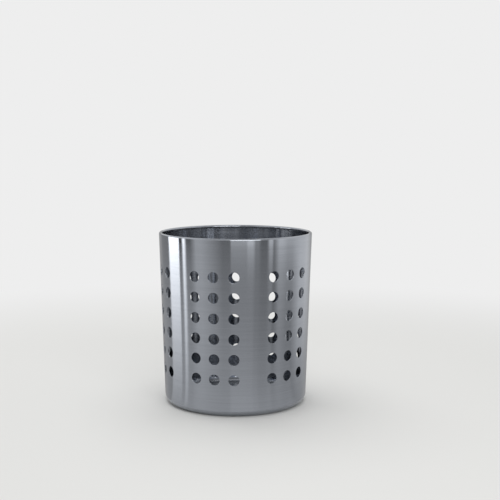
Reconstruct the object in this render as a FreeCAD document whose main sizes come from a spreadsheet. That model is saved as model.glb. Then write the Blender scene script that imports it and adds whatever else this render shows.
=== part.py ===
import FreeCAD, Part
import Sketcher
import math
import os

# Cutlery caddy: a perforated sheet-steel cup with a rolled rim and a floor welded in.
# Millimetres, +Z up. The origin is the middle of the foot, on the surface that the cup stands on.
# The front faces -Y, and the seam that closes the rolled sheet is at the back, on +Y.

# Driving sizes: name, value, meaning. Angles are in degrees.
SIZES = (
    ("cup_height", 135.0, "foot to the top of the rolled rim"),
    ("rim_diameter", 120.7, "outside of the wall's cone at the top"),
    ("foot_diameter", 112.0, "outside of the wall's cone at the foot"),
    ("sheet_thickness", 0.5, "sheet of the wall"),
    ("bend_radius", 6.4, "outside of the bend from wall to land"),
    ("land_width", 7.0, "flat of the bottom edge that is bent inwards"),
    ("curl_radius", 1.25, "outside of the rolled rim"),
    ("curl_sweep", 285.0, "angle through which the rim is rolled"),
    ("seam_width", 1.6, "butt weld down the back, at the rim"),
    ("hole_diameter", 8.3, "punched hole in the wall"),
    ("hole_rows", 6, "holes in a column"),
    ("row_pitch", 15.5, "hole to hole up a column"),
    ("hole_columns", 3, "columns in a group"),
    ("column_angle", 15.0, "column to column round the wall"),
    ("hole_groups", 6, "groups round the wall"),
    ("base_thickness", 0.5, "sheet of the floor"),
    ("base_clearance", 0.3, "edge of the floor to the start of the bend"),
    ("drain_diameter", 8.0, "drain hole in the floor"),
    ("drain_pitch", 16.0, "ring to ring of drain holes"),
    ("drain_rings", 2, "rings of drain holes round the middle one"),
    ("ring_step", 6, "drain holes that each ring has more than the ring inside it"),
    ("weld_height", 0.2, "gap between land and floor that a weld fills"),
    ("weld_diameter", 4.0, "spot weld under the floor"),
    ("weld_count", 12, "spot welds round the floor"),
    ("cut_overrun", 2.0, "how far a cut runs past the sheet"),
)
size = {name: value for name, value, meaning in SIZES}

# Lean of the wall, and the radius at which the flat land meets the bend, as formulas on the sheet
LEAN = "atan((Sizes.rim_diameter - Sizes.foot_diameter) / (2 * Sizes.cup_height))"
LAND_RADIUS = f"(Sizes.foot_diameter / 2 - Sizes.bend_radius * (1 - sin({LEAN})) / cos({LEAN}))"
WELD_RADIUS = f"({LAND_RADIUS} - Sizes.land_width / 2)"
SEAM_ANGLE = "2 * asin(Sizes.seam_width / Sizes.rim_diameter)"

# Turns that bring a body's own +X to the front and to the back of the cup
TO_FRONT = -90
TO_BACK = 90

# How a sketch numbers the points of its curves, its axes and its origin
START, END, CENTRE = 1, 2, 3
H_AXIS, V_AXIS = -1, -2
ORIGIN = (H_AXIS, START)

doc = FreeCAD.newDocument("cutlery_caddy")


def make_sheet():
    """The spreadsheet that every size is bound to."""
    sheet = doc.addObject("Spreadsheet::Sheet", "Sizes")
    for row, (name, value, meaning) in enumerate(SIZES, start=1):
        sheet.set(f"A{row}", name)
        sheet.set(f"B{row}", str(value))
        sheet.set(f"C{row}", meaning)
        sheet.setAlias(f"B{row}", name)
    doc.recompute()


def make_body(label):
    body = doc.addObject("PartDesign::Body", label)
    body.Label = label
    return body


def origin_feature(body, role):
    return next(feature for feature in body.Origin.OriginFeatures if feature.Role == role)


def make_sketch(body, name, plane):
    sketch = body.newObject("Sketcher::SketchObject", name)
    sketch.AttachmentSupport = [(origin_feature(body, plane), "")]
    sketch.MapMode = "FlatFace"
    return sketch


def bind(sketch, name, formula, *constraint):
    """Add a dimension to a sketch, and tie it to a formula on the sheet."""
    index = sketch.addConstraint(Sketcher.Constraint(*constraint))
    sketch.renameConstraint(index, name)
    sketch.setExpression(f"Constraints.{name}", formula)


def turn_about_z(body, degrees):
    body.Placement = FreeCAD.Placement(FreeCAD.Vector(), FreeCAD.Rotation(FreeCAD.Vector(0, 0, 1), degrees))


def circle_sketch(body, name, plane, diameter, across=None, up=None):
    """A sketch of one circle, tied to formulas on the sheet. It lies on an axis where it has no formula."""
    sketch = make_sketch(body, name, plane)
    start = FreeCAD.Vector(size["row_pitch"], size["row_pitch"], 0)
    circle = sketch.addGeometry(Part.Circle(start, FreeCAD.Vector(0, 0, 1), size["hole_diameter"] / 2))
    bind(sketch, "diameter", diameter, "Diameter", circle, size["hole_diameter"])
    if across:
        bind(sketch, "across", across, "DistanceX", *ORIGIN, circle, CENTRE, start.x)
    else:
        sketch.addConstraint(Sketcher.Constraint("PointOnObject", circle, CENTRE, V_AXIS))
    if up:
        bind(sketch, "up", up, "DistanceY", *ORIGIN, circle, CENTRE, start.y)
    else:
        sketch.addConstraint(Sketcher.Constraint("PointOnObject", circle, CENTRE, H_AXIS))
    return sketch


def sheet_section(body):
    """The section of the wall sheet: land, bend, leaning wall and rolled rim, on the body's XZ plane."""
    thickness = size["sheet_thickness"]
    height = size["cup_height"]
    bend = size["bend_radius"]
    curl = size["curl_radius"]
    foot = size["foot_diameter"] / 2
    rim = size["rim_diameter"] / 2
    lean = math.atan2(rim - foot, height)
    sweep = math.radians(size["curl_sweep"])
    down = -math.pi / 2

    def centre_at(radius, level):
        """Centre of a circle that touches the outside of the wall from within, at a level."""
        return FreeCAD.Vector(foot + (level * math.sin(lean) - radius) / math.cos(lean), level, 0)

    def on(centre, radius, angle):
        return centre + FreeCAD.Vector(radius * math.cos(angle), radius * math.sin(angle), 0)

    def line(start, end):
        return sketch.addGeometry(Part.LineSegment(start, end))

    def arc(centre, radius, start, end):
        circle = Part.Circle(centre, FreeCAD.Vector(0, 0, 1), radius)
        return sketch.addGeometry(Part.ArcOfCircle(circle, start, end))

    def join(kind, first, first_end, second, second_end):
        sketch.addConstraint(Sketcher.Constraint(kind, first, first_end, second, second_end))

    sketch = make_sketch(body, "section", "XZ_Plane")
    bend_at = centre_at(bend, bend)
    curl_at = centre_at(curl, height - curl)
    inward = FreeCAD.Vector(-size["land_width"], 0, 0)
    up = FreeCAD.Vector(0, thickness, 0)
    heel = FreeCAD.Vector(bend_at.x, 0, 0)
    inner_bend = bend - thickness
    inner_curl = curl - thickness

    land = line(heel + inward, heel)
    bend_out = arc(bend_at, bend, down, -lean)
    wall_out = line(on(bend_at, bend, -lean), on(curl_at, curl, -lean))
    curl_out = arc(curl_at, curl, -lean, sweep - lean)
    curl_end = line(on(curl_at, curl, sweep - lean), on(curl_at, inner_curl, sweep - lean))
    curl_in = arc(curl_at, inner_curl, -lean, sweep - lean)
    wall_in = line(on(curl_at, inner_curl, -lean), on(bend_at, inner_bend, -lean))
    bend_in = arc(bend_at, inner_bend, down, -lean)
    land_top = line(heel + up, heel + inward + up)
    land_end = line(heel + inward + up, heel + inward)
    cone = line(FreeCAD.Vector(foot, 0, 0), FreeCAD.Vector(rim, height, 0))
    sketch.setConstruction(cone, True)

    join("Tangent", land, END, bend_out, START)
    join("Tangent", bend_out, END, wall_out, START)
    join("Tangent", wall_out, END, curl_out, START)
    join("Coincident", curl_out, END, curl_end, START)
    join("Coincident", curl_end, END, curl_in, END)
    join("Tangent", curl_in, START, wall_in, START)
    join("Tangent", wall_in, END, bend_in, END)
    join("Tangent", bend_in, START, land_top, START)
    join("Coincident", land_top, END, land_end, START)
    join("Coincident", land_end, END, land, START)
    join("Coincident", curl_in, CENTRE, curl_out, CENTRE)
    join("Coincident", bend_in, CENTRE, bend_out, CENTRE)
    for held, point, carrier in (
        (land, START, H_AXIS),
        (cone, START, H_AXIS),
        (wall_out, START, cone),
        (wall_out, END, cone),
        (curl_out, CENTRE, curl_end),
    ):
        sketch.addConstraint(Sketcher.Constraint("PointOnObject", held, point, carrier))
    sketch.addConstraint(Sketcher.Constraint("Horizontal", land))
    sketch.addConstraint(Sketcher.Constraint("Horizontal", land_top))
    sketch.addConstraint(Sketcher.Constraint("Vertical", land_end))

    bind(sketch, "foot", "Sizes.foot_diameter / 2", "DistanceX", *ORIGIN, cone, START, foot)
    bind(sketch, "rim", "Sizes.rim_diameter / 2", "DistanceX", *ORIGIN, cone, END, rim)
    bind(sketch, "top", "Sizes.cup_height", "DistanceY", *ORIGIN, cone, END, height)
    curl_level = "Sizes.cup_height - Sizes.curl_radius"
    bind(sketch, "curl_level", curl_level, "DistanceY", *ORIGIN, curl_out, CENTRE, height - curl)
    bind(sketch, "land", "Sizes.land_width", "DistanceX", land, START, land, END, size["land_width"])
    bind(sketch, "bend_out", "Sizes.bend_radius", "Radius", bend_out, bend)
    bind(sketch, "bend_in", "Sizes.bend_radius - Sizes.sheet_thickness", "Radius", bend_in, inner_bend)
    bind(sketch, "curl_out", "Sizes.curl_radius", "Radius", curl_out, curl)
    bind(sketch, "curl_in", "Sizes.curl_radius - Sizes.sheet_thickness", "Radius", curl_in, inner_curl)
    bind(sketch, "curl_sweep", "Sizes.curl_sweep * 1 deg", "Angle", curl_out, sweep)
    return sketch


def revolve(body, sketch, angle):
    """Turn a section about the cup's axis, half the angle to each side of the section's plane."""
    turned = body.newObject("PartDesign::Revolution", "turned")
    turned.Profile = sketch
    turned.ReferenceAxis = (sketch, ["V_Axis"])
    turned.Midplane = True
    turned.setExpression("Angle", angle)
    doc.recompute()


def cut_through(body, name, sketch, length):
    """Cut a sketch's outline out of the body, along the sketch's normal."""
    before = body.Shape.Volume
    pocket = body.newObject("PartDesign::Pocket", name)
    pocket.Profile = sketch
    pocket.Reversed = True
    pocket.setExpression("Length", length)
    doc.recompute()
    if body.Shape.Volume >= before:
        raise RuntimeError(f"{name} cuts nothing")
    return pocket


def polar(body, name, originals, occurrences):
    """Copies of a feature, spaced evenly all the way round the cup's axis."""
    pattern = body.newObject("PartDesign::PolarPattern", name)
    pattern.Originals = originals
    pattern.Axis = (origin_feature(body, "Z_Axis"), [""])
    pattern.Angle = 360
    pattern.setExpression("Occurrences", occurrences)
    body.Tip = pattern
    doc.recompute()
    return pattern


def make_wall_sleeve():
    """The perforated sheet, rolled to a cone, that is the whole outside of the cup."""
    body = make_body("wall_sleeve")
    revolve(body, sheet_section(body), f"360 deg - {SEAM_ANGLE}")

    # Lowest hole of the first column, cut from the axis outwards. Half the cup's height is the columns' middle
    lowest = "Sizes.cup_height / 2 - (Sizes.hole_rows - 1) / 2 * Sizes.row_pitch"
    sketch = circle_sketch(body, "hole", "YZ_Plane", "Sizes.hole_diameter", up=lowest)
    sketch.AttachmentOffset = FreeCAD.Placement(
        FreeCAD.Vector(), FreeCAD.Rotation(FreeCAD.Vector(0, 1, 0), size["column_angle"])
    )
    first_column = "180 / Sizes.hole_groups - (Sizes.hole_columns - 1) / 2 * Sizes.column_angle"
    sketch.setExpression("AttachmentOffset.Rotation.Angle", f"({first_column}) * 1 deg")
    widest = "max(Sizes.rim_diameter; Sizes.foot_diameter)"
    hole = cut_through(body, "first_hole", sketch, f"{widest} / 2 + Sizes.cut_overrun")

    # Up the column, across the group, then group by group round the cup
    rows = body.newObject("PartDesign::LinearPattern", "rows")
    rows.Direction = (origin_feature(body, "Z_Axis"), [""])
    rows.Mode = "Spacing"
    rows.setExpression("Offset", "Sizes.row_pitch")
    rows.setExpression("Occurrences", "Sizes.hole_rows")
    columns = body.newObject("PartDesign::PolarPattern", "columns")
    columns.Axis = (origin_feature(body, "Z_Axis"), [""])
    columns.Mode = "Spacing"
    columns.setExpression("Offset", "Sizes.column_angle * 1 deg")
    columns.setExpression("Occurrences", "Sizes.hole_columns")
    groups = body.newObject("PartDesign::PolarPattern", "groups")
    groups.Axis = (origin_feature(body, "Z_Axis"), [""])
    groups.Angle = 360
    groups.setExpression("Occurrences", "Sizes.hole_groups")
    pattern = body.newObject("PartDesign::MultiTransform", "hole_pattern")
    pattern.Originals = [hole]
    pattern.Transformations = [rows, columns, groups]
    body.Tip = pattern
    turn_about_z(body, TO_FRONT)
    return body


def make_seam_weld():
    """The butt weld that closes the sleeve: the sheet's own section, filled from edge to edge."""
    body = make_body("seam_weld")
    revolve(body, sheet_section(body), SEAM_ANGLE)
    turn_about_z(body, TO_BACK)
    return body


def make_base_disc():
    """The flat floor, with a drain hole in the middle and rings of them round it."""
    body = make_body("base_disc")
    sketch = circle_sketch(body, "outline", "XY_Plane", f"2 * ({LAND_RADIUS} - Sizes.base_clearance)")
    floor = body.newObject("PartDesign::Pad", "floor")
    floor.Profile = sketch
    floor.setExpression("Length", "Sizes.base_thickness")
    doc.recompute()
    depth = "Sizes.base_thickness + Sizes.cut_overrun"
    middle = circle_sketch(body, "middle", "XY_Plane", "Sizes.drain_diameter")
    cut_through(body, "middle_drain", middle, depth)
    for ring in range(1, size["drain_rings"] + 1):
        place = f"{ring} * Sizes.drain_pitch"
        sketch = circle_sketch(body, f"ring_{ring}", "XY_Plane", "Sizes.drain_diameter", across=place)
        drain = cut_through(body, f"drain_{ring}", sketch, depth)
        polar(body, f"drains_{ring}", [drain], f"{ring} * Sizes.ring_step")
    body.setExpression("Placement.Base.z", "Sizes.sheet_thickness + Sizes.weld_height")
    return body


def make_base_welds():
    """The spot welds between land and floor, clear of the seam."""
    body = make_body("base_welds")
    body.AllowCompound = True
    sketch = circle_sketch(body, "spot", "XY_Plane", "Sizes.weld_diameter", across=WELD_RADIUS)
    spot = body.newObject("PartDesign::Pad", "first_spot")
    spot.Profile = sketch
    spot.setExpression("Length", "Sizes.weld_height")
    doc.recompute()
    polar(body, "spots", [spot], "Sizes.weld_count")
    turn_about_z(body, 180 / size["weld_count"])
    body.setExpression("Placement.Base.z", "Sizes.sheet_thickness")
    return body


make_sheet()
pieces = [make_wall_sleeve(), make_seam_weld(), make_base_disc(), make_base_welds()]
doc.recompute()

for feature in doc.Objects:
    if "Invalid" in feature.State or "Error" in feature.State:
        raise RuntimeError(f"{feature.Label} failed: {feature.State}")
for piece in pieces:
    if piece.Shape.isNull() or not piece.Shape.isValid():
        raise RuntimeError(f"{piece.Label} has no valid shape")

os.makedirs("parts", exist_ok=True)
for piece in pieces:
    piece.Shape.exportStep(f"parts/{piece.Label}.step")
    print(piece.Label, len(piece.Shape.Solids), "solids", round(piece.Shape.Volume, 2), "mm3")
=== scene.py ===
import math

import bpy
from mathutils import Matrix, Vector


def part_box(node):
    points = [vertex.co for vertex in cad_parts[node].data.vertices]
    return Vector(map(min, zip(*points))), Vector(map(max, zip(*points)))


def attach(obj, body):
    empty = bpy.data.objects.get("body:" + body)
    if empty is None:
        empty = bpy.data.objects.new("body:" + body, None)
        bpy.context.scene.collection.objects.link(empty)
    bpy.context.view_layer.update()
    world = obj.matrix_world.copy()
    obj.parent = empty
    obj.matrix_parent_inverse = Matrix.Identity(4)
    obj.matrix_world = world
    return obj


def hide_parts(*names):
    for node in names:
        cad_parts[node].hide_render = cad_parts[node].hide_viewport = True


# Cutlery caddy: a perforated cup of brushed stainless steel sheet, with a rolled rim and a floor welded in.
# Metres, +Z up, in the frame of the CAD model: the origin is the middle of the foot, the front faces -Y,
# and the seam of the rolled sheet is at the back, on +Y.
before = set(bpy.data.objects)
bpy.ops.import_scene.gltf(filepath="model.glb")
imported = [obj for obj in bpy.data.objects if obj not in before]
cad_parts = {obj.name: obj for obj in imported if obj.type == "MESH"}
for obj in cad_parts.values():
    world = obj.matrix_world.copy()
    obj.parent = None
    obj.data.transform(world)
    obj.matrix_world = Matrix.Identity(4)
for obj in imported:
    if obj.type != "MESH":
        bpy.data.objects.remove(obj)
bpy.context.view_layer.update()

MM = 0.001

# Sizes read from the frame
sleeve_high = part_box("wall_sleeve")[1]
disc_low, disc_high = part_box("base_disc")
CUP_HEIGHT = sleeve_high.z
DISC_UNDER = disc_low.z
DISC_TOP = disc_high.z
DISC_RADIUS = disc_high.x

# Sizes of the wall sheet
RIM_RADIUS = 60.35 * MM
FOOT_RADIUS = 56.0 * MM
SHEET = 0.5 * MM
BEND_RADIUS = 6.4 * MM
LAND_WIDTH = 7.0 * MM
CURL_RADIUS = 1.25 * MM
CURL_SWEEP = math.radians(285)
SEAM_WIDTH = 1.6 * MM
SEAM_CROWN = 0.05 * MM

# Holes of the wall: cells of equal angle go round it, and every fourth is left plain
HOLE_RADIUS = 4.15 * MM
HOLE_ROWS = 6
ROW_PITCH = 15.5 * MM
CELLS_ROUND = 24
CELLS_IN_GROUP = 4

# Drain holes of the floor: one in the middle, and rings round it. The second ring has twice the first one's.
DRAIN_RADIUS = 4.0 * MM
DRAIN_PITCH = 16.0 * MM
DRAIN_RINGS = 2
DRAINS_IN_FIRST_RING = 6

# Marks that spot welding leaves in the floor: shallow round dents with a sloping edge
WELD_MARKS = 12
WELD_MARK_RADIUS = 2.0 * MM
WELD_MARK_SLOPE = WELD_MARK_RADIUS / 3
WELD_MARK_DEPTH = 0.06 * MM
WELD_MARK_MARGIN = 0.9 * MM

# Rounded edge that the punch leaves, and the width of the flat loop that holds the shading beside it
LIP = 0.12 * MM
LIP_GUARD = 0.2 * MM

# How finely the meshes are divided. CELL_SIDE is the grid steps along each side of a hole's cell, and
# BLEND_SHARES places the loops between a cell's rim and the ring round its hole.
CELL_SIDE = 8
LIP_STEPS = 3
BEND_STEPS = 14
CURL_STEPS = 28
BAND_STEPS = 4
LAND_STEPS = 2
SEAM_STEPS = 4
FLOOR_COLUMNS = 120
WELD_MARK_HALF_COLUMNS = 2
BLEND_SHARES = (0.4, 0.75)
SHARP_EDGE = math.radians(50)

# Sizes that follow from these
LEAN = math.atan2(RIM_RADIUS - FOOT_RADIUS, CUP_HEIGHT)
LAND_RADIUS = FOOT_RADIUS - BEND_RADIUS * (1 - math.sin(LEAN)) / math.cos(LEAN)
WELD_CIRCLE = LAND_RADIUS - LAND_WIDTH / 2
CURL_LEVEL = CUP_HEIGHT - CURL_RADIUS
CURL_CENTRE = FOOT_RADIUS + CURL_LEVEL * math.tan(LEAN) - CURL_RADIUS / math.cos(LEAN)
SEAM_HALF_ANGLE = math.asin(SEAM_WIDTH / 2 / RIM_RADIUS)
CELL_ANGLE = 2 * math.pi / CELLS_ROUND
LOWEST_ROW = CUP_HEIGHT / 2 - (HOLE_ROWS - 1) / 2 * ROW_PITCH


def spread(start, end, steps):
    """Evenly spaced values from start to end, both included."""
    return [start + (end - start) * step / steps for step in range(steps + 1)]


class PunchedSheet:
    """A sheet with a front and a back skin, on a grid of places, with holes and dents in blocks of the grid.
    place(i, j, depth) gives a point under the front skin. A sheet that wraps is closed along j."""

    def __init__(self, count_i, count_j, place, thickness, wraps=False):
        self.points = []
        self.faces = []
        self.count_i = count_i
        self.count_j = count_j
        self.thickness = thickness
        self.wraps = wraps
        self.front = self.skin(place, 0)
        self.back = self.skin(place, thickness)
        self.taken_front = set()
        self.taken_back = set()

    def point(self, place):
        """Adds a point and gives its index."""
        self.points.append(place)
        return len(self.points) - 1

    def skin(self, place, depth):
        """Adds the points of one skin and gives their indices, row by row."""
        rows = range(self.count_i)
        columns = range(self.count_j)
        return [[self.point(place(i, j, depth)) for j in columns] for i in rows]

    def at(self, skin, i, j):
        return skin[i][j % self.count_j]

    def rim(self, first, last, low, high):
        """Places round a block of the grid, anticlockwise as seen from the front."""
        outward = [(i, low) for i in range(first, last)]
        upward = [(last, j) for j in range(low, high)]
        inward = [(i, high) for i in range(last, first, -1)]
        downward = [(first, j) for j in range(high, low, -1)]
        return outward + upward + inward + downward

    def take(self, first, last, low, high, both_skins=True):
        """Keeps plain faces out of a block of the grid."""
        block = {(i, j % self.count_j) for i in range(first, last) for j in range(low, high)}
        self.taken_front |= block
        if both_skins:
            self.taken_back |= block

    def loops(self, skin, rim, flat, lay, rings, depth):
        """Loops of points from a block's rim in to circles. flat is the rim on the block's own plane, about
        its middle, and lay puts a point of that plane on the sheet. The rings are pairs of a radius and a
        depth, outermost first."""
        angles = [math.atan2(up, across) for across, up in flat]
        widest = rings[0][0]
        made = [[self.at(skin, i, j) for i, j in rim]]
        for share in BLEND_SHARES:
            loop = []
            for (across, up), angle in zip(flat, angles):
                x = across + (widest * math.cos(angle) - across) * share
                y = up + (widest * math.sin(angle) - up) * share
                loop.append(self.point(lay(x, y, depth)))
            made.append(loop)
        for radius, down in rings:
            circle = [lay(radius * math.cos(angle), radius * math.sin(angle), down) for angle in angles]
            made.append([self.point(place) for place in circle])
        return made

    def join(self, loops):
        """Faces between each closed loop and the next."""
        for outer, inner in zip(loops, loops[1:]):
            for k in range(len(outer)):
                after = (k + 1) % len(outer)
                self.faces.append((outer[k], outer[after], inner[after], inner[k]))

    def punch(self, rim, flat, lay, radius):
        """A round hole with rounded lips, from the front skin through to the back one."""
        turns = spread(0, math.pi / 2, LIP_STEPS)
        lip = [(radius + LIP * (1 - math.sin(turn)), LIP * (1 - math.cos(turn))) for turn in turns]
        front_rings = [(radius + LIP + LIP_GUARD, 0)] + lip
        back_rings = [(ring, self.thickness - down) for ring, down in front_rings]
        front = self.loops(self.front, rim, flat, lay, front_rings, 0)
        back = self.loops(self.back, rim, flat, lay, back_rings, self.thickness)
        self.join(front + back[::-1])

    def dent(self, rim, flat, lay, rings):
        """A shallow round mark in the front skin only."""
        loops = self.loops(self.front, rim, flat, lay, rings, 0)
        self.join(loops)
        middle = self.point(lay(0, 0, rings[-1][1]))
        last = loops[-1]
        for k in range(len(last)):
            self.faces.append((last[k], last[(k + 1) % len(last)], middle))

    def fill(self):
        """Plain faces on what is left of both skins."""
        columns = self.count_j if self.wraps else self.count_j - 1
        for skin, taken, turn in ((self.front, self.taken_front, 1), (self.back, self.taken_back, -1)):
            for i in range(self.count_i - 1):
                for j in range(columns):
                    if (i, j) not in taken:
                        corners = ((i, j), (i + 1, j), (i + 1, j + 1), (i, j + 1))
                        self.faces.append(tuple(self.at(skin, *corner) for corner in corners)[::turn])

    def close(self, places):
        """Faces across the thickness along a line of places that has the sheet on its left."""
        for here, there in zip(places, places[1:]):
            front = (self.at(self.front, *there), self.at(self.front, *here))
            self.faces.append(front + (self.at(self.back, *here), self.at(self.back, *there)))

    def make(self, name, material):
        mesh = bpy.data.meshes.new(name)
        mesh.from_pydata(self.points, [], self.faces)
        mesh.shade_smooth()
        mesh.set_sharp_from_angle(angle=SHARP_EDGE)
        mesh.materials.append(material)
        piece = bpy.data.objects.new(name, mesh)
        bpy.context.scene.collection.objects.link(piece)
        return piece


# The wall sheet follows one section all the way round: a list of stations along its outside. Each is a
# radius, a level, and how far out and up the sheet faces there.
def wall_station(level):
    """A station on the straight part of the wall."""
    return (FOOT_RADIUS + level * math.tan(LEAN), level, math.cos(LEAN), -math.sin(LEAN))


def arc_station(radius, level, bend, angle):
    """A station on an arc about a middle that is at a radius and a level."""
    out, up = math.cos(angle), math.sin(angle)
    return (radius + bend * out, level + bend * up, out, up)


def wall_section():
    """Stations from the land's free edge to the end of the rolled rim, and the index where holes start."""
    land = [(radius, 0, 0, -1) for radius in spread(LAND_RADIUS - LAND_WIDTH, LAND_RADIUS, LAND_STEPS)]
    turns = spread(-math.pi / 2, -LEAN, BEND_STEPS)[1:]
    bend = [arc_station(LAND_RADIUS, BEND_RADIUS, BEND_RADIUS, angle) for angle in turns]
    holes_low = LOWEST_ROW - ROW_PITCH / 2
    holes_high = holes_low + HOLE_ROWS * ROW_PITCH
    curl_start = CURL_LEVEL - CURL_RADIUS * math.sin(LEAN)
    levels = spread(bend[-1][1], holes_low, BAND_STEPS)[1:]
    holes_start = len(land) + len(bend) + len(levels) - 1
    levels += spread(holes_low, holes_high, HOLE_ROWS * CELL_SIDE)[1:]
    levels += spread(holes_high, curl_start, BAND_STEPS)[1:]
    turns = spread(-LEAN, CURL_SWEEP - LEAN, CURL_STEPS)[1:]
    curl = [arc_station(CURL_CENTRE, CURL_LEVEL, CURL_RADIUS, angle) for angle in turns]
    return land + bend + [wall_station(level) for level in levels] + curl, holes_start


def on_wall(angle, station, depth):
    """A point of the wall sheet, at an angle from the seam, anticlockwise as seen from above."""
    radius, level, out, up = station
    radius -= depth * out
    return (-radius * math.sin(angle), radius * math.cos(angle), level - depth * up)


def close_all_round(sheet):
    """Closes the four edges of a sheet that doesn't wrap."""
    last_i, last_j = sheet.count_i - 1, sheet.count_j - 1
    sheet.close([(i, 0) for i in range(last_i + 1)])
    sheet.close([(last_i, j) for j in range(last_j + 1)])
    sheet.close([(i, last_j) for i in range(last_i, -1, -1)])
    sheet.close([(0, j) for j in range(last_j, -1, -1)])


def make_sleeve(material):
    """The perforated sheet: land, bend, punched wall and rolled rim, from one side of the seam round to the
    other."""
    stations, holes_start = wall_section()
    steps = CELLS_ROUND * CELL_SIDE
    turns = spread(0, 2 * math.pi, steps)
    turns[0] += SEAM_HALF_ANGLE
    turns[-1] -= SEAM_HALF_ANGLE

    def place(i, j, depth):
        return on_wall(turns[i], stations[j], depth)

    sheet = PunchedSheet(len(turns), len(stations), place, SHEET)

    def punch_hole(cell, row):
        middle = cell * CELL_ANGLE
        level = LOWEST_ROW + row * ROW_PITCH
        first = cell * CELL_SIDE - CELL_SIDE // 2
        low = holes_start + row * CELL_SIDE
        block = (first, first + CELL_SIDE, low, low + CELL_SIDE)

        def lay(across, up, depth):
            station = wall_station(level + up)
            return on_wall(middle + math.asin(across / station[0]), station, depth)

        rim = sheet.rim(*block)
        flat = [(stations[j][0] * math.sin(turns[i] - middle), stations[j][1] - level) for i, j in rim]
        sheet.punch(rim, flat, lay, HOLE_RADIUS)
        sheet.take(*block)

    for cell in range(CELLS_ROUND):
        if cell % CELLS_IN_GROUP:
            for row in range(HOLE_ROWS):
                punch_hole(cell, row)
    sheet.fill()
    close_all_round(sheet)
    return sheet.make("perforated_sleeve", material)


def make_seam(material):
    """The butt weld that closes the sleeve: dressed flush outside, with a low crown left on it inside."""
    stations = wall_section()[0]
    turns = spread(-SEAM_HALF_ANGLE, SEAM_HALF_ANGLE, SEAM_STEPS)

    def place(i, j, depth):
        crown = SEAM_CROWN * math.cos(math.pi / 2 * turns[i] / SEAM_HALF_ANGLE) if depth else 0
        return on_wall(turns[i], stations[j], depth + crown)

    sheet = PunchedSheet(len(turns), len(stations), place, SHEET)
    sheet.fill()
    close_all_round(sheet)
    return sheet.make("dressed_seam", material)


def make_floor(material):
    """The floor sheet, with rings of drain holes and the marks of the spot welds round its edge."""
    turn = 2 * math.pi / FLOOR_COLUMNS
    mark_low = WELD_CIRCLE - WELD_MARK_RADIUS - WELD_MARK_MARGIN
    mark_high = WELD_CIRCLE + WELD_MARK_RADIUS + WELD_MARK_MARGIN
    drains_end = DRAIN_PITCH * (DRAIN_RINGS + 0.5)
    radii = spread(DRAIN_PITCH / 2, drains_end, DRAIN_RINGS * CELL_SIDE)
    radii += spread(drains_end, mark_low, BAND_STEPS)[1:]
    mark_row = len(radii) - 1
    radii += spread(mark_low, mark_high, CELL_SIDE)[1:]
    radii.append(DISC_RADIUS)

    def place(i, j, depth):
        return (radii[i] * math.cos(turn * j), radii[i] * math.sin(turn * j), DISC_TOP - depth)

    sheet = PunchedSheet(len(radii), FLOOR_COLUMNS, place, DISC_TOP - DISC_UNDER, wraps=True)

    def block_plane(rim, radius, angle):
        """A block's rim on its own plane, whose up points away from the floor's middle, and the function
        that lays a point of that plane on the floor."""
        out = Vector((math.cos(angle), math.sin(angle), 0))
        along = Vector((math.sin(angle), -math.cos(angle), 0))
        middle = out * radius + Vector((0, 0, DISC_TOP))

        def lay(across, up, depth):
            return tuple(middle + along * across + out * up - Vector((0, 0, depth)))

        offsets = [Vector(place(i, j, 0)) - middle for i, j in rim]
        return [(offset.dot(along), offset.dot(out)) for offset in offsets], lay

    rim = [(0, j) for j in range(FLOOR_COLUMNS)]
    sheet.punch(rim, *block_plane(rim, 0, math.pi / 2), DRAIN_RADIUS)
    for ring in range(1, DRAIN_RINGS + 1):
        drains = ring * DRAINS_IN_FIRST_RING
        half = FLOOR_COLUMNS // drains // 2
        low = (ring - 1) * CELL_SIDE
        for drain in range(drains):
            middle = 2 * half * drain
            block = (low, low + CELL_SIDE, middle - half, middle + half)
            rim = sheet.rim(*block)
            sheet.punch(rim, *block_plane(rim, ring * DRAIN_PITCH, turn * middle), DRAIN_RADIUS)
            sheet.take(*block)
    rings = [(WELD_MARK_RADIUS + LIP_GUARD, 0)]
    for angle in spread(0, math.pi / 2, LIP_STEPS):
        narrowing = WELD_MARK_SLOPE * math.sin(angle)
        rings.append((WELD_MARK_RADIUS - narrowing, WELD_MARK_DEPTH * (1 - math.cos(angle))))
    spacing = FLOOR_COLUMNS // WELD_MARKS
    for mark in range(WELD_MARKS):
        middle = spacing * mark + spacing // 2
        low, high = middle - WELD_MARK_HALF_COLUMNS, middle + WELD_MARK_HALF_COLUMNS
        block = (mark_row, mark_row + CELL_SIDE, low, high)
        rim = sheet.rim(*block)
        sheet.dent(rim, *block_plane(rim, WELD_CIRCLE, turn * middle), rings)
        sheet.take(*block, both_skins=False)
    sheet.fill()
    sheet.close([(len(radii) - 1, j) for j in range(FLOOR_COLUMNS + 1)])
    return sheet.make("drained_floor", material)


# Materials
def linear(code):
    """An sRGB hex colour as linear red, green, blue and alpha."""
    channels = [int(code[k:k + 2], 16) / 255 for k in (1, 3, 5)]
    return [c / 12.92 if c <= 0.04045 else ((c + 0.055) / 1.055) ** 2.4 for c in channels] + [1.0]


def add(tree, kind, sockets, **settings):
    """Adds a node with its settings. A socket takes a value, or is linked to another node's output."""
    made = tree.nodes.new(kind)
    for name, value in settings.items():
        setattr(made, name, value)
    for name, value in sockets.items():
        if isinstance(value, bpy.types.NodeSocket):
            tree.links.new(value, made.inputs[name])
        else:
            made.inputs[name].default_value = value
    return made


def new_material(name):
    """A new material, with its node tree and its shader."""
    material = bpy.data.materials.new(name)
    material.use_nodes = True
    return material, material.node_tree, material.node_tree.nodes["Principled BSDF"]


# Most of a noise's values lie between these, so they are the ends of the ranges that it drives
NOISE_LOW = 0.3
NOISE_HIGH = 0.7


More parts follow.
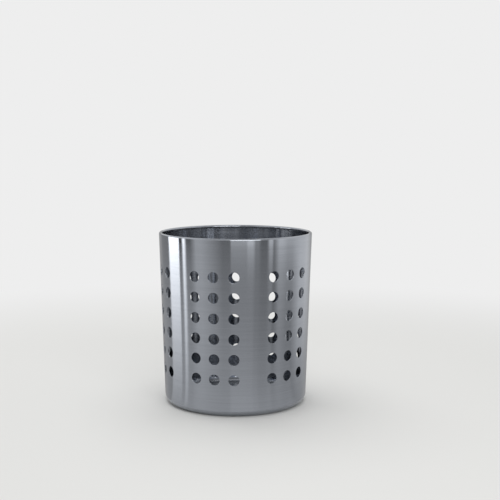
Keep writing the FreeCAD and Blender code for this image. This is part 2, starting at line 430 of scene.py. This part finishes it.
def line_noise(tree, sizes, detail):
    """Grey streaks, with their sizes in metres along x, y and z of the object."""
    place = add(tree, "ShaderNodeTexCoord", {})
    scale = [1 / size for size in sizes]
    mapped = add(tree, "ShaderNodeMapping", {"Vector": place.outputs["Object"], "Scale": scale})
    sockets = {"Vector": mapped.outputs["Vector"], "Scale": 1.0, "Detail": detail, "Roughness": 0.6}
    return add(tree, "ShaderNodeTexNoise", sockets).outputs["Fac"]


def brushed_stainless():
    """Stainless steel sheet, brushed on a belt before it was rolled up, so the lines run round the cup. They
    stretch every reflection up and down into a stripe, and keep it sharp from side to side."""
    material, tree, shader = new_material("brushed_stainless_steel")
    # Belt lines are finer than this on the real sheet: these are as coarse as they need to be to show
    fine = line_noise(tree, (45 * MM, 45 * MM, 0.45 * MM), detail=2.0)
    broad = line_noise(tree, (140 * MM, 140 * MM, 2.6 * MM), detail=3.0)
    lines = add(tree, "ShaderNodeMix", {"Factor": 0.4, "A": fine, "B": broad}, data_type="FLOAT")
    streaks = lines.outputs["Result"]
    colour = add(tree, "ShaderNodeValToRGB", {"Fac": streaks})
    colour.color_ramp.elements[0].position = NOISE_LOW
    colour.color_ramp.elements[0].color = linear("#A1A5AC")
    colour.color_ramp.elements[1].position = NOISE_HIGH
    colour.color_ramp.elements[1].color = linear("#ABAFB6")
    noise_range = {"Value": streaks, "From Min": NOISE_LOW, "From Max": NOISE_HIGH}
    rough = add(tree, "ShaderNodeMapRange", {**noise_range, "To Min": 0.14, "To Max": 0.11})
    bump = add(tree, "ShaderNodeBump", {"Height": streaks, "Distance": 0.008 * MM, "Strength": 1.0})
    # The tangent runs round the cup, along the lines, and a quarter turn stretches reflections across them
    along_lines = add(tree, "ShaderNodeTangent", {}, direction_type="RADIAL", axis="Z")
    tree.links.new(colour.outputs["Color"], shader.inputs["Base Color"])
    tree.links.new(rough.outputs["Result"], shader.inputs["Roughness"])
    tree.links.new(bump.outputs["Normal"], shader.inputs["Normal"])
    tree.links.new(along_lines.outputs["Tangent"], shader.inputs["Tangent"])
    shader.inputs["Metallic"].default_value = 1.0
    shader.inputs["Anisotropic"].default_value = 1.0
    shader.inputs["Anisotropic Rotation"].default_value = 0.25
    return material


def rolled_stainless():
    """Stainless steel sheet as it leaves the cold mill: a soft satin grey, with faint lines one way and a
    few scuffs."""
    material, tree, shader = new_material("cold_rolled_stainless_steel")
    grain = line_noise(tree, (1.2 * MM, 60 * MM, 60 * MM), detail=3.0)
    scuff = line_noise(tree, (9 * MM, 9 * MM, 9 * MM), detail=4.0)
    mixed = add(tree, "ShaderNodeMix", {"Factor": 0.45, "A": grain, "B": scuff}, data_type="FLOAT")
    colour = add(tree, "ShaderNodeValToRGB", {"Fac": mixed.outputs["Result"]})
    colour.color_ramp.elements[0].position = NOISE_LOW
    colour.color_ramp.elements[0].color = linear("#9C9EA1")
    colour.color_ramp.elements[1].position = NOISE_HIGH
    colour.color_ramp.elements[1].color = linear("#AFB1B3")
    noise_range = {"Value": scuff, "From Min": NOISE_LOW, "From Max": NOISE_HIGH}
    rough = add(tree, "ShaderNodeMapRange", {**noise_range, "To Min": 0.24, "To Max": 0.34})
    bump = add(tree, "ShaderNodeBump", {"Height": grain, "Distance": 0.006 * MM, "Strength": 1.0})
    tree.links.new(colour.outputs["Color"], shader.inputs["Base Color"])
    tree.links.new(rough.outputs["Result"], shader.inputs["Roughness"])
    tree.links.new(bump.outputs["Normal"], shader.inputs["Normal"])
    shader.inputs["Metallic"].default_value = 1.0
    return material


def weld_steel():
    """Stainless weld metal, ground flush along the seam: a little darker than the sheet, with upright
    grinding lines and the faint ripples of the bead."""
    material, tree, shader = new_material("dressed_stainless_weld")
    grinding = line_noise(tree, (0.3 * MM, 0.3 * MM, 12 * MM), detail=2.0)
    ripple = line_noise(tree, (6 * MM, 6 * MM, 1.1 * MM), detail=1.0)
    colour = add(tree, "ShaderNodeValToRGB", {"Fac": ripple})
    colour.color_ramp.elements[0].position = 0.35
    colour.color_ramp.elements[0].color = linear("#95999F")
    colour.color_ramp.elements[1].position = 0.65
    colour.color_ramp.elements[1].color = linear("#A0A4AA")
    bump = add(tree, "ShaderNodeBump", {"Height": grinding, "Distance": 0.01 * MM, "Strength": 1.0})
    tree.links.new(colour.outputs["Color"], shader.inputs["Base Color"])
    tree.links.new(bump.outputs["Normal"], shader.inputs["Normal"])
    shader.inputs["Metallic"].default_value = 1.0
    shader.inputs["Roughness"].default_value = 0.2
    return material


# Studio: a round table that fades into the background between two distances, and even light from all round
TABLE_RADIUS = 0.7
TABLE_SIDES = 96
TABLE_FADE_FROM = 0.25
TABLE_FADE_TO = 0.65
BACKGROUND = linear("#EEEEEE")
DAYLIGHT = 0.5

# Camera, at the photograph's viewing angle. Its distance is from the cup's axis, its lens and sensor are in
# millimetres, and a bearing is counted from the front, towards +X.
CAMERA_BEARING = math.radians(-13.8)
CAMERA_DISTANCE = 0.7714
CAMERA_HEIGHT = 0.2087
CAMERA_TILT = math.radians(83.457)
CAMERA_TURN = math.radians(-14.651)
CAMERA_ROLL = math.radians(0.1)
CAMERA_LENS = 70.6
CAMERA_SENSOR = 36.0

# Cards that stand in a ring round the cup and show only in the steel, as painted reflections: the bearings in
# degrees that each fills, and its brightness above the edge level, below it, at its foot, and where its glow
# on the table ends beside the cup, which is painted shade for the table in the cup's shadow as the steel
# mirrors it. Between two cards the brightness runs from one to the next.
CARDS = (
    (-176, -152, 0.44, 0.42, 0.42, 0.36),  # grey card
    (-146, -124, 0.34, 0.38, 0.5, 0.42),  # black flag
    (-120.4, -99.2, 3.2, 2.22, 1.2, 0.57),  # wide lit card
    (-98.3, -93.5, 0.06, 0.42, 0.53, 0.57),  # black gap
    (-90.2, -89.2, 2.75, 2.0, 1.32, 0.66),  # narrow lit card
    (-84.7, -78, 0.2, 0.4, 0.53, 0.58),  # black strip
    (-69, -61, 0.72, 0.69, 0.69, 0.63),  # grey card
    (-30.6, -21, 0.26, 0.3, 0.46, 0.58),  # broad black flag
    (-19.5, 0.5, 0.72, 0.36, 0.46, 0.64),  # white card
    (2.6, 9, 1.1, 0.36, 0.44, 0.63),  # its lit edge
    (13, 16.6, 0.45, 0.33, 0.38, 0.6),  # grey gap
    (20.8, 29, 0.22, 0.3, 0.36, 0.56),  # black card
    (33, 36.7, 1.0, 0.41, 0.4, 0.57),  # pale strip
    (39, 40.2, 0.42, 0.26, 0.32, 0.54),  # thin flag
    (48, 52.6, 1.02, 0.62, 0.48, 0.54),  # lit end of the large white card
    (63, 72, 0.8, 0.51, 0.38, 0.52),  # large white card
    (91, 112, 0.9, 0.92, 0.74, 0.44),  # pale card
    (132, 168, 0.45, 0.5, 0.45, 0.36),  # shaded card
)

# The ring's radius, the cards' top, and the level and softness of the edge across them
CARD_RING = 0.31
CARD_TOP = 0.2
CARD_EDGE = 0.083
CARD_EDGE_SOFTNESS = 0.01

# The glow along the table, a painted reflection of the table that only the steel shows: the radius where it
# ends, how far it lies above the table, and how it turns
GLOW_END = 0.06
GLOW_LIFT = 0.0002
GLOW_TURN_SHARE = 0.63
GLOW_TURN_POWER = 4

# A dark grey flag that hangs over the front, so that the bottom of the cup doesn't mirror a pale sky. It
# shows
# only in the steel: a painted dark reflection that gives the bottom of the cup painted shade.
FLAG_CORNERS = ((-0.35, -0.4, 0.55), (0.35, -0.4, 0.55), (0.35, -0.02, 0.55), (-0.35, -0.02, 0.55))
FLAG_BRIGHTNESS = 0.24


def shown_rays(tree):
    """1 for what the camera sees, straight or in metal and glass, and 0 for light that falls on a surface."""
    light_path = add(tree, "ShaderNodeLightPath", {})
    shown = light_path.outputs["Is Camera Ray"]
    for kind in ("Is Glossy Ray", "Is Transmission Ray"):
        either = add(tree, "ShaderNodeMath", {0: shown, 1: light_path.outputs[kind]}, operation="MAXIMUM")
        shown = either.outputs["Value"]
    return shown


def make_table():
    """A pale matt table, which fades into the background well past the cup's shadow."""
    material, tree, shader = new_material("pale_matt_table")
    shader.inputs["Base Color"].default_value = linear("#E3E3E1")
    shader.inputs["Roughness"].default_value = 0.6
    shader.inputs["Specular IOR Level"].default_value = 0.0
    place = add(tree, "ShaderNodeTexCoord", {})
    far = add(tree, "ShaderNodeVectorMath", {0: place.outputs["Object"]}, operation="LENGTH")
    fade_range = {"Value": far.outputs["Value"], "From Min": TABLE_FADE_FROM, "From Max": TABLE_FADE_TO}
    fade = add(tree, "ShaderNodeMapRange", fade_range, interpolation_type="SMOOTHSTEP")
    both = {0: fade.outputs["Result"], 1: shown_rays(tree)}
    factor = add(tree, "ShaderNodeMath", both, operation="MULTIPLY")
    glow = add(tree, "ShaderNodeEmission", {"Color": BACKGROUND, "Strength": 1.0})
    mixed = {"Fac": factor.outputs["Value"], 1: shader.outputs["BSDF"], 2: glow.outputs["Emission"]}
    blend = add(tree, "ShaderNodeMixShader", mixed)
    tree.links.new(blend.outputs["Shader"], tree.nodes["Material Output"].inputs["Surface"])
    bpy.ops.mesh.primitive_circle_add(vertices=TABLE_SIDES, radius=TABLE_RADIUS, fill_type="NGON")
    table = bpy.context.object
    table.name = "table"
    table.data.materials.append(material)


def card_edge(bearing, upper, lower, foot, glow):
    """One upright edge of a card, from its top down and in along the table: places with their brightness.
    The glow turns towards the camera's bearing as it comes in, the way that a bright card's mirror image
    lies on a table, and less so behind the cup, where the ring closes."""
    def place(radius, angle, level):
        return (radius * math.sin(angle), -radius * math.cos(angle), level)

    aside = math.remainder(bearing - CAMERA_BEARING, 2 * math.pi)
    share = GLOW_TURN_SHARE + (1 - GLOW_TURN_SHARE) * (aside / math.pi) ** GLOW_TURN_POWER
    turned = CAMERA_BEARING + share * aside
    return (
        (place(CARD_RING, bearing, CARD_TOP), upper),
        (place(CARD_RING, bearing, CARD_EDGE + CARD_EDGE_SOFTNESS), upper),
        (place(CARD_RING, bearing, CARD_EDGE - CARD_EDGE_SOFTNESS), lower),
        (place(CARD_RING, bearing, GLOW_LIFT), foot),
        # Painted shade: the brightness where the glow ends stands for the table in the cup's shadow, as
        # mirrored
        (place(GLOW_END, turned, GLOW_LIFT), glow),
    )


def make_cards():
    """The ring of cards and the flag, in one mesh. It lights nothing and the camera passes through it."""
    edges = []
    for first, last, *levels in CARDS:
        edges.append(card_edge(math.radians(first), *levels))
        edges.append(card_edge(math.radians(last), *levels))
    rows = len(edges[0])
    points = []
    brightness = []
    for edge in edges:
        for place, value in edge:
            points.append(place)
            brightness.append(value)
    faces = []
    for here in range(len(edges)):
        after = (here + 1) % len(edges)
        for row in range(rows - 1):
            left, right = here * rows + row, after * rows + row
            faces.append((left, right, right + 1, left + 1))
    faces.append(tuple(range(len(points), len(points) + len(FLAG_CORNERS))))
    points.extend(FLAG_CORNERS)
    brightness.extend([FLAG_BRIGHTNESS] * len(FLAG_CORNERS))
    mesh = bpy.data.meshes.new("reflection_cards")
    mesh.from_pydata(points, [], faces)
    mesh.attributes.new("brightness", "FLOAT", "POINT").data.foreach_set("value", brightness)
    material, tree = new_material("lit_card")[:2]
    level = add(tree, "ShaderNodeAttribute", {}, attribute_name="brightness")
    lit = add(tree, "ShaderNodeEmission", {"Strength": level.outputs["Fac"]})
    tree.links.new(lit.outputs["Emission"], tree.nodes["Material Output"].inputs["Surface"])
    mesh.materials.append(material)
    cards = bpy.data.objects.new("reflection_cards", mesh)
    cards.visible_camera = False
    cards.visible_diffuse = False
    cards.visible_shadow = False
    bpy.context.scene.collection.objects.link(cards)


def make_surroundings():
    """Even light from all round, and the pale background that the camera and the steel see."""
    world = bpy.data.worlds.new("studio")
    bpy.context.scene.world = world
    world.use_nodes = True
    tree = world.node_tree
    grey = (DAYLIGHT, DAYLIGHT, DAYLIGHT, 1)
    colours = {"Factor": shown_rays(tree), "A": grey, "B": BACKGROUND}
    seen = add(tree, "ShaderNodeMix", colours, data_type="RGBA")
    tree.links.new(seen.outputs["Result"], tree.nodes["Background"].inputs["Color"])


# Soft lamps: the place, width, height and power of each, and whether the steel shows it. The front one is low
# enough to shine on the rim and not into the bottom of the cup.
LAMPS = {
    "front_softbox": ((0.03, -1.0, 0.62), 0.84, 0.36, 3.2, True),
    "overhead_softbox": ((-0.04, 0.3, 1.1), 1.1, 1.1, 7.2, False),
}


def make_lamps():
    """Oblong lamps that face the middle of the foot."""
    for name, (place, width, height, power, shows_in_steel) in LAMPS.items():
        data = bpy.data.lights.new(name, "AREA")
        data.shape = "RECTANGLE"
        data.size = width
        data.size_y = height
        data.energy = power
        lamp = bpy.data.objects.new(name, data)
        lamp.location = place
        lamp.rotation_euler = (-Vector(place)).to_track_quat("-Z", "Y").to_euler()
        lamp.visible_glossy = shows_in_steel
        bpy.context.scene.collection.objects.link(lamp)


def make_camera():
    data = bpy.data.cameras.new("camera")
    data.lens = CAMERA_LENS
    data.sensor_width = CAMERA_SENSOR
    camera = bpy.data.objects.new("camera", data)
    camera.location = (
        CAMERA_DISTANCE * math.sin(CAMERA_BEARING),
        -CAMERA_DISTANCE * math.cos(CAMERA_BEARING),
        CAMERA_HEIGHT,
    )
    camera.rotation_euler = (CAMERA_TILT, 0, CAMERA_TURN)
    camera.rotation_euler.rotate_axis("Z", CAMERA_ROLL)
    bpy.context.scene.collection.objects.link(camera)
    bpy.context.scene.camera = camera


# The sleeve, the seam and the floor take the places of their CAD nodes. The spot welds keep their CAD mesh.
steel = brushed_stainless()
weld = weld_steel()
for maker, material, node, slot in (
    (make_sleeve, steel, "wall_sleeve", "brushed_sheet"),
    (make_seam, weld, "seam_weld", "weld_metal"),
    (make_floor, rolled_stainless(), "base_disc", "floor_sheet"),
):
    piece = maker(material)
    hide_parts(node)
    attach(piece, "root")
spot_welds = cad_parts["base_welds"]
spot_welds.data.materials.clear()
spot_welds.data.materials.append(weld)

make_table()
make_cards()
make_surroundings()
make_lamps()
make_camera()
bpy.context.scene.view_settings.view_transform = "Standard"
